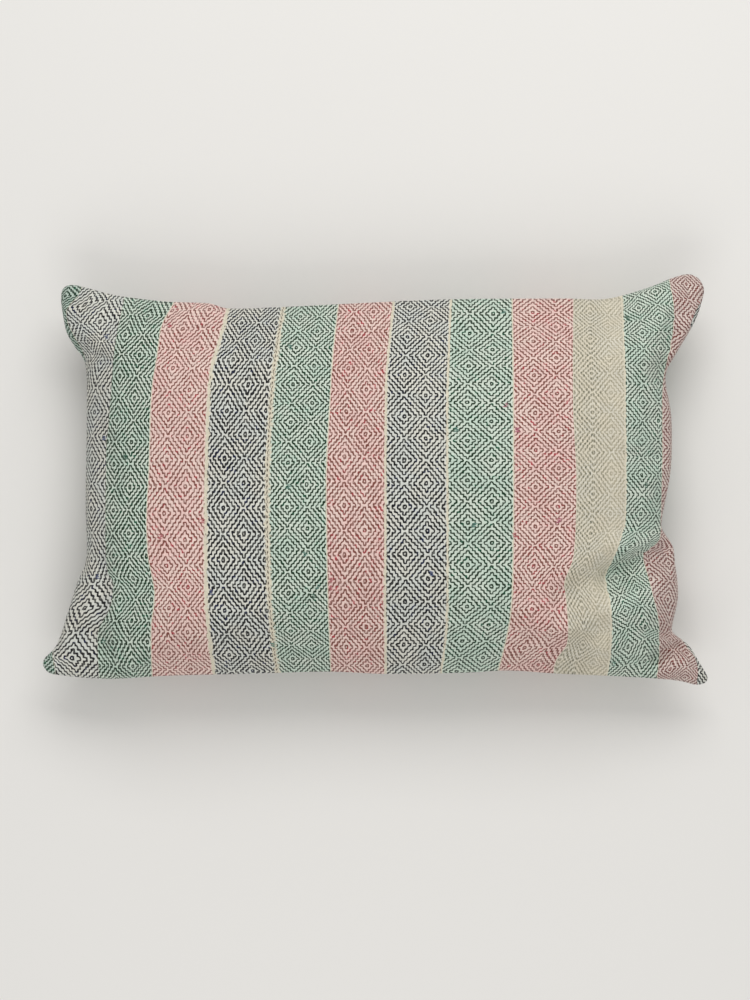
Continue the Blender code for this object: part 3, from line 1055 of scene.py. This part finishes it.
def cover_material(colours):
    """Strips of diamond-woven cotton with bare edges, read from the cover's own UV maps."""
    material, surface, wiring = new_material("strip-pieced cotton")
    strips = wiring.split(wiring.uv_map("strips"))
    number = wiring.math("FLOOR", strips[0], label="strip number")
    odd = wiring.math("MODULO", number, 2.0, label="odd strip")
    laid = wiring.node("ShaderNodeMix", {0: odd, 4: wiring.uv_map("even cloth"),
                                         5: wiring.uv_map("odd cloth")}, data_type="VECTOR")
    on_cloth = wiring.split(laid.outputs[1])
    cloth = wiring.node("ShaderNodeCombineXYZ", {
        0: on_cloth[0], 1: on_cloth[1], 2: wiring.times(number, STRIP_APART)},
        "place on the cloth of one strip").outputs[0]
    yarn = wiring.node("ShaderNodeGroup", {"Cloth": cloth}, node_tree=yarn_group()).outputs
    streak, patch, blotch, fuzz = (yarn[name] for name in ("Streak", *YARN_NOISE))

    # What each strip is made of, looked up by its number
    place = wiring.math("DIVIDE", wiring.plus(number, 0.5), float(len(STRIPS)))
    rows = strip_rows(colours)
    tables = {part: wiring.table(place, rows[part], label)
              for part, label in LOOKED_UP.items()}
    bare_left, bare_right, stitches_left = wiring.split_colour(tables["edges"][0])
    stitches_right = tables["edges"][1]
    dots, line_width, faintness = wiring.split_colour(tables["wear"][0])

    # The threads, shaken a little, and a different draw at each of their crossings
    sway = wiring.shake(cloth, SWAY_SCALE, 1.0)
    shift = wiring.shake(cloth, SHAKE_SCALE, 0.0)
    threads = (wiring.math("DIVIDE", on_cloth[0], THREAD),
               wiring.times(on_cloth[1], THREADS_REPEAT / REPEAT))
    across, along = (
        wiring.plus(wiring.plus(threads[way], wiring.math("MULTIPLY_ADD", sway[way], WAVER,
                                                          -WAVER / 2.0)), shift[way])
        for way in (0, 1))
    crossing = wiring.node("ShaderNodeCombineXYZ", {
        0: wiring.math("FLOOR", across), 1: wiring.math("FLOOR", along), 2: number},
        "crossing of the threads").outputs[0]
    drawn = wiring.split_colour(
        wiring.node("ShaderNodeTexWhiteNoise", {"Vector": crossing}).outputs[1])

    # Bare edges of the strips, with running stitches along some of the joins
    share = wiring.minus(strips[0], number, "share across the strip")
    from_left = wiring.times(share, strips[1])
    from_right = wiring.minus(strips[1], from_left)
    nearest = wiring.math("MINIMUM", from_left, from_right)
    wander = wiring.times(wiring.times(blotch, 2.0), wiring.span(drawn[1], *EDGE_WANDER))
    bare = wiring.math("MAXIMUM", wiring.bare_edge(from_left, bare_left, wander),
                       wiring.bare_edge(from_right, bare_right, wander), label="bare edge")
    on_left = wiring.math("LESS_THAN", from_left, from_right)
    kept = wiring.choose(on_left, stitches_right, stitches_left, "stitches that show")
    shown = wiring.math("GREATER_THAN", kept, wiring.noise(cloth, STITCH_SCALE, 0.0))
    on_join = wiring.soft_step(nearest, 0.75 * MM, 0.25 * MM)
    turn = wiring.math("PINGPONG", wiring.math("DIVIDE", on_cloth[1], STITCH), 0.5)
    stitch = wiring.times(wiring.times(on_join, shown), wiring.soft_step(turn, 0.30, 0.20),
                          "running stitch")

    # The dark yarn, uneven in its width and paler in places
    uneven = wiring.math("MULTIPLY_ADD", streak, 0.7, -0.35)
    weave = wiring.node("ShaderNodeGroup", {
        "Across": across, "Along": along, "Width": wiring.plus(line_width, uneven)},
        node_tree=diamond_weave_group()).outputs
    faint = wiring.times(wiring.span(drawn[0], *PALE_CROSSINGS), faintness, "paler crossing")
    strength = wiring.times(wiring.span(blotch, *LINE_STRENGTH), wiring.minus(1.0, faint))
    woven = wiring.times(weave["Line"], strength)

    # The olive dots of the beige cloth, which thin out towards its right
    dotted = wiring.times(weave["Dot"], dots)
    for kept_part in (wiring.span(drawn[2], *DOT_DRAW),
                      wiring.soft_step(across, *DOTS_FADE),
                      wiring.span(streak, *DOT_STREAKS)):
        dotted = wiring.times(dotted, kept_part)

    ground, tint, line, fleck = (tables[part][0] for part in YARNS)
    pale = wiring.mix(wiring.span(patch, *TINT_PATCHES), ground, tint, "pale yarn")
    dark = wiring.mix(wiring.span(blotch, *FLECKS), line, fleck, "dark yarn")
    # In the beige strip the dark yarn is painted shade of the weave's relief, not a darker thread
    colour = wiring.mix(woven, pale, dark, "both yarns")
    for mask, name in ((dotted, "beige_dot"), (bare, "selvedge"), (stitch, "stitch")):
        label = TRIMMINGS[name][0]
        colour = wiring.mix(mask, colour, tuple(getattr(colours, name)), label)
    tone = wiring.times(wiring.span(streak, *STREAK_TONE), wiring.span(fuzz, *FUZZ_TONE))
    tone = wiring.times(tone, wiring.span(drawn[1], *CROSSING_TONE))
    shaded = wiring.node("ShaderNodeHueSaturation", {"Color": colour, "Value": tone}).outputs[0]

    height = wiring.math("MULTIPLY_ADD", fuzz, 0.35, weave["Relief"])
    height = wiring.plus(height, wiring.soft_step(nearest, 0.0, 1.2 * MM), "join")
    bump = wiring.node("ShaderNodeBump", {"Height": height, "Strength": 0.5,
                                          "Distance": 0.25 * MM}).outputs[0]
    wiring.fill_in(surface, {
        "Base Color": shaded, "Roughness": wiring.span(fuzz, *ROUGHNESS),
        "Normal": bump, "Sheen Weight": 0.10, "Sheen Roughness": 0.6, "Specular IOR Level": 0.2})
    return material


def yarn_material(name, colour):
    """Fuzzy spun cotton of one dye, paler where its fibres stand out."""
    material, surface, wiring = new_material(name)
    place = wiring.node("ShaderNodeTexCoord").outputs["Object"]
    fibres = wiring.noise(place, FIBRE_SCALE, label="fibres")
    pale = tuple(0.6 * part + 0.4 for part in tuple(colour)[:3]) + (1.0,)
    shade = wiring.mix(wiring.span(fibres, *FIBRE_SHOW), tuple(colour), pale)
    bump = wiring.node("ShaderNodeBump", {"Height": fibres, "Strength": 0.6,
                                          "Distance": 0.1 * MM}).outputs[0]
    wiring.fill_in(surface, {"Base Color": shade, "Normal": bump, "Roughness": 0.9,
                             "Specular IOR Level": 0.2})
    return material


def floor_material(colour):
    """A plain matt floor."""
    material, surface, wiring = new_material("plain floor")
    wiring.fill_in(surface, {"Base Color": colour, "Roughness": 0.9, "Specular IOR Level": 0.1})
    return material


# Cover and slubs

def add_object(name, data):
    """An object in the scene, or a light or camera, with its data."""
    made = bpy.data.objects.new(name, data)
    bpy.context.scene.collection.objects.link(made)
    return made


def mesh_object(name, mesh):
    """An object in the scene with the mesh of a bmesh, which is used up."""
    data = bpy.data.meshes.new(name)
    mesh.to_mesh(data)
    mesh.free()
    return add_object(name, data)


class KANTHA_OT_cover(bpy.types.Operator):
    """Make the filled cover: two panels sewn at the seam, settled and creased."""

    bl_idname = "kantha.cover"
    bl_label = "Cover"

    def execute(self, context):
        form = context.scene.kantha_form
        parts = CoverMesh(CoverPanel(form))
        cover = add_object("cover", parts.data)
        shape_cover(cover, parts, form)
        ClothLayout(parts).lay()
        parts.data.materials.append(cover_material(context.scene.kantha_colours))
        finer = cover.modifiers.new("finer cloth", "SUBSURF")
        finer.levels = 1
        finer.render_levels = 1
        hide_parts(NODE)
        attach(cover, "root")
        return {"FINISHED"}


class FaceFinder:
    """Finds the point of the cover's face under a place that the camera sees."""

    def __init__(self, data):
        self.tree = BVHTree.FromPolygons([vertex.co for vertex in data.vertices],
                                         [face.vertices for face in data.polygons])
        self.eye = Vector((CAMERA_X, CAMERA_Y, CAMERA_HEIGHT + SEAM_HEIGHT))

    def find(self, place):
        """The point of the face and its normal there."""
        ray = Vector((place.x, place.y, SEAM_HEIGHT)) - self.eye
        return self.tree.ray_cast(self.eye, ray.normalized())[:2]


def add_yarn(mesh, finder, places, thick, slot):
    """A short yarn along places of the face, half sunk in it and tapered to both ends."""
    rings = []
    last = len(places) - 1
    for number, place in enumerate(places):
        point, normal = finder.find(place)
        run = places[min(number + 1, last)] - places[max(number - 1, 0)]
        sideways = normal.cross(run.to_3d()).normalized()
        swell = math.sin(math.pi * (number + YARN_TIP) / (last + 2.0 * YARN_TIP))
        ring = []
        for side in range(SIDES):
            turn = math.tau * side / SIDES
            rise = normal * (YARN_RISE + math.sin(turn)) + sideways * math.cos(turn)
            ring.append(mesh.verts.new(point + rise * thick * swell))
        rings.append(ring)
    faces = [mesh.faces.new(rings[0]), mesh.faces.new(rings[-1])]
    for ring, after in zip(rings, rings[1:]):
        for side in range(SIDES):
            beside = (side + 1) % SIDES
            faces.append(mesh.faces.new((ring[side], ring[beside], after[beside], after[side])))
    for face in faces:
        face.material_index = slot
        face.smooth = True


class KANTHA_OT_slubs(bpy.types.Operator):
    """Lay the slubs and the loose ends of thread on the face."""

    bl_idname = "kantha.slubs"
    bl_label = "Slubs and loose ends"

    def execute(self, context):
        colours = context.scene.kantha_colours
        finder = FaceFinder(context.scene.objects["cover"].data)
        dyes = sorted({dye for x, y, dye in SLUBS})
        draw = Random(SLUB_SEED)
        mesh = bmesh.new()
        for x, y, dye in SLUBS:
            for thread in SLUB_THREADS:
                middle = Vector((x * MM + draw.uniform(-SLUB_SHIFT, SLUB_SHIFT) * MM,
                                 y * MM + SLUB_PITCH * thread))
                half = SLUB_HALF * draw.uniform(*SLUB_LENGTHS)
                lean = draw.uniform(-SLUB_LEAN, SLUB_LEAN)
                shares = (2.0 * ring / (RINGS - 1) - 1.0 for ring in range(RINGS))
                places = [middle + Vector((share, share * lean)) * half for share in shares]
                thick = SLUB_THICK * draw.uniform(*SLUB_WIDTHS)
                add_yarn(mesh, finder, places, thick, dyes.index(dye))
        for points in LOOSE_ENDS:
            add_yarn(mesh, finder, smooth_curve(points), LOOSE_THICK, len(dyes))
        bmesh.ops.recalc_face_normals(mesh, faces=mesh.faces)
        slubs = mesh_object("slubs", mesh)
        for dye in dyes:
            slub = yarn_material(f"{dye} slub", getattr(colours, f"{dye}_slub"))
            slubs.data.materials.append(slub)
        slubs.data.materials.append(yarn_material("loose thread", colours.loose_thread))
        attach(slubs, "root")
        return {"FINISHED"}


# The stage

class KANTHA_OT_stage(bpy.types.Operator):
    """Set the pale floor, the soft lights and the camera over the cushion."""

    bl_idname = "kantha.stage"
    bl_label = "Stage"

    def execute(self, context):
        settings = context.scene.kantha_stage
        self.add_floor(settings)
        for name, (place, size) in LIGHTS.items():
            self.add_light(f"{name} light", Vector(place), size, getattr(settings, name))
        self.set_surroundings(context, settings)
        self.add_camera(context, settings)
        context.scene.view_settings.view_transform = "Standard"
        return {"FINISHED"}

    def add_floor(self, settings):
        """A plain pale floor."""
        mesh = bmesh.new()
        bmesh.ops.create_grid(mesh, x_segments=1, y_segments=1, size=FLOOR_HALF)
        floor = mesh_object("floor", mesh)
        floor.data.materials.append(floor_material(settings.floor))

    def add_light(self, name, place, size, power):
        """A large rectangular lamp that looks at the middle of the cushion."""
        lamp = bpy.data.lights.new(name, "AREA")
        lamp.shape = "RECTANGLE"
        lamp.size, lamp.size_y = size
        lamp.energy = power
        light = add_object(name, lamp)
        light.location = place
        down = Vector((0.0, 0.0, LIT_HEIGHT)) - light.location
        light.rotation_euler = down.to_track_quat("-Z", "Y").to_euler()

    def set_surroundings(self, context, settings):
        """Even white surroundings."""
        world = bpy.data.worlds.new("studio")
        world.use_nodes = True
        background = world.node_tree.nodes["Background"]
        background.inputs["Color"].default_value = (1.0, 1.0, 1.0, 1.0)
        background.inputs["Strength"].default_value = settings.sky
        context.scene.world = world

    def add_camera(self, context, settings):
        """A long lens straight above, so that the picture is framed as the photograph."""
        lens = bpy.data.cameras.new("camera")
        lens.sensor_fit = "HORIZONTAL"
        lens.sensor_width = SENSOR
        lens.lens = SENSOR * settings.camera_height / (FRAME_WIDTH * PIXEL)
        camera = add_object("camera", lens)
        height = context.scene.kantha_form.seam_height + settings.camera_height
        camera.location = (CAMERA_X, CAMERA_Y, height)
        context.scene.camera = camera


# Panel and registration

STEPS = {"kantha.cover": "kantha_form", "kantha.slubs": "kantha_colours",
         "kantha.stage": "kantha_stage"}


class KANTHA_PT_panel(bpy.types.Panel):
    """Lists the steps and their sizes and colours."""

    bl_label = "Kantha cushion"
    bl_idname = "KANTHA_PT_panel"
    bl_space_type = "VIEW_3D"
    bl_region_type = "UI"
    bl_category = "Kantha cushion"

    def draw(self, context):
        for operator, name in STEPS.items():
            settings = getattr(context.scene, name)
            box = self.layout.box()
            box.operator(operator)
            for size in settings.bl_rna.properties.keys():
                if size not in ("rna_type", "name"):
                    box.prop(settings, size)


SETTINGS = {"kantha_form": CushionForm, "kantha_colours": ClothColours,
            "kantha_stage": StageSettings}
CLASSES = (*SETTINGS.values(), KANTHA_OT_cover, KANTHA_OT_slubs, KANTHA_OT_stage,
           KANTHA_PT_panel)


def register():
    """Register the classes and hang their settings on the scene."""
    for made in CLASSES:
        bpy.utils.register_class(made)
    for name, settings in SETTINGS.items():
        setattr(bpy.types.Scene, name, PointerProperty(type=settings))


def unregister():
    """Take the settings and the classes away again."""
    for name in SETTINGS:
        delattr(bpy.types.Scene, name)
    for made in reversed(CLASSES):
        bpy.utils.unregister_class(made)


def main():
    """Make the pieces in order."""
    register()
    bpy.ops.kantha.cover()
    bpy.ops.kantha.slubs()
    bpy.ops.kantha.stage()


if __name__ == "__main__":
    main()
